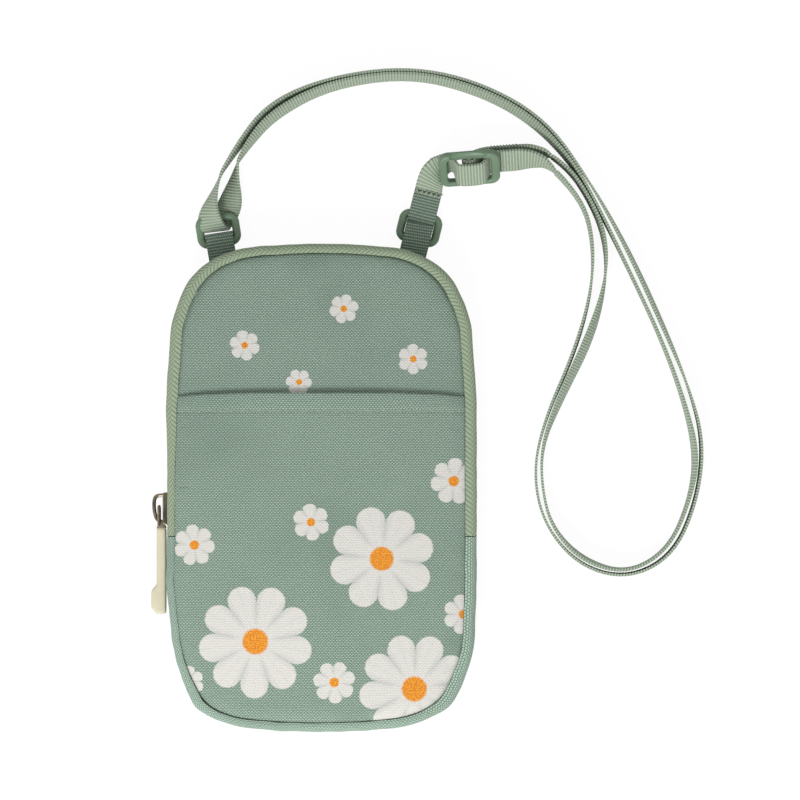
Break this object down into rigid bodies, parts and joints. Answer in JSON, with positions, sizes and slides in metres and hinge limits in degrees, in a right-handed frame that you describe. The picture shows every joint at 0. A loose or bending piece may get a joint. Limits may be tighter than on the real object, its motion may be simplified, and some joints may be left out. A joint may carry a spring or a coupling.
{
  "type": "phone pouch",
  "caption": "Padded upright phone pouch with rounded corners, a zip round its upper band, a flat front slip pocket and a long webbing strap on two rings with a slide adjuster.",
  "frame": {"origin": "centre of the back panel's outer face, on which the pouch lies", "axes": "+X to the right seen from the front, +Y towards the strap rings, +Z out of the front panel"},
  "size_m": [0.2062, 0.2459, 0.0243],
  "materials": {
    "outer_cloth": "woven, matt",
    "padding": "open foam",
    "lining_cloth": "smooth weave",
    "binding_tape": "ribbed tape",
    "zip_tape": "herringbone tape",
    "zip_coil": "moulded coil",
    "dark_nickel": "dark nickel",
    "pull_plastic": "satin",
    "ring_plastic": "satin",
    "webbing": "ribbed webbing"
  },
  "bodies": {
    "pouch": {"back_panel": "outer_cloth", "back_foam": "padding", "back_lining": "lining_cloth", "gusset_strip": "outer_cloth", "gusset_lining": "lining_cloth", "zip_tape_back": "zip_tape", "zip_coil_back": "zip_coil", "zip_tape_front_ends": "zip_tape", "zip_coil_front_ends": "zip_coil", "front_panel_lower": "outer_cloth", "front_foam_lower": "padding", "front_lining_lower": "lining_cloth", "pocket_panel_lower": "outer_cloth", "back_binding": "binding_tape", "front_binding_lower": "binding_tape", "left_tab": "webbing", "right_tab": "webbing", "strap_out_twist": "webbing", "strap_back_twist": "webbing", "strap_strand_out": "webbing", "strap_strand_back": "webbing"},
    "front_flap": {"front_panel_upper": "outer_cloth", "front_foam_upper": "padding", "front_lining_upper": "lining_cloth", "pocket_panel_upper": "outer_cloth", "zip_tape_front": "zip_tape", "zip_coil_front": "zip_coil", "front_binding_upper": "binding_tape"},
    "zip_slider": {"slider_body": "dark_nickel"},
    "zip_pull": {"pull_link": "dark_nickel", "pull_tab": "pull_plastic"},
    "left_ring": {"left_ring": "ring_plastic", "strap_left_loop": "webbing"},
    "right_ring": {"right_ring": "ring_plastic", "strap_anchor_loop": "webbing", "strap_lead": "webbing", "strap_thread": "webbing", "strap_out_lead": "webbing", "strap_back_lead": "webbing"},
    "strap_adjuster": {"strap_adjuster": "ring_plastic", "strap_end_loop": "webbing"}
  },
  "joints": [
    {"name": "flap_open", "type": "hinge", "parent": "pouch", "child": "front_flap", "pos_m": [0, 0.0004, 0.0244], "axis": [1, 0, 0], "range_deg": [0, 110]},
    {"name": "zip_slide", "type": "slide", "parent": "pouch", "child": "zip_slider", "axis": [0, 1, 0], "range_m": [0, 0.052]},
    {"name": "pull_swing", "type": "hinge", "parent": "zip_slider", "child": "zip_pull", "pos_m": [-0.05995, -0.007, 0.0105], "axis": [0, 0, -1], "range_deg": [0, 150]},
    {"name": "left_ring_swing", "type": "hinge", "parent": "pouch", "child": "left_ring", "pos_m": [-0.03758, 0.09076, 0.0034], "axis": [0.9877, 0.1564, 0], "range_deg": [0, 95]},
    {"name": "right_ring_swing", "type": "hinge", "parent": "pouch", "child": "right_ring", "pos_m": [0.03521, 0.09178, 0.0034], "axis": [0.9703, -0.2419, 0], "range_deg": [0, 95], "deforming": ["strap_out_lead", "strap_back_lead"]},
    {"name": "adjuster_slide", "type": "slide", "parent": "right_ring", "child": "strap_adjuster", "axis": [0.9969, 0.0785, 0], "range_m": [0, 0.01], "deforming": ["strap_thread", "strap_out_lead", "strap_back_lead"]}
  ]
}
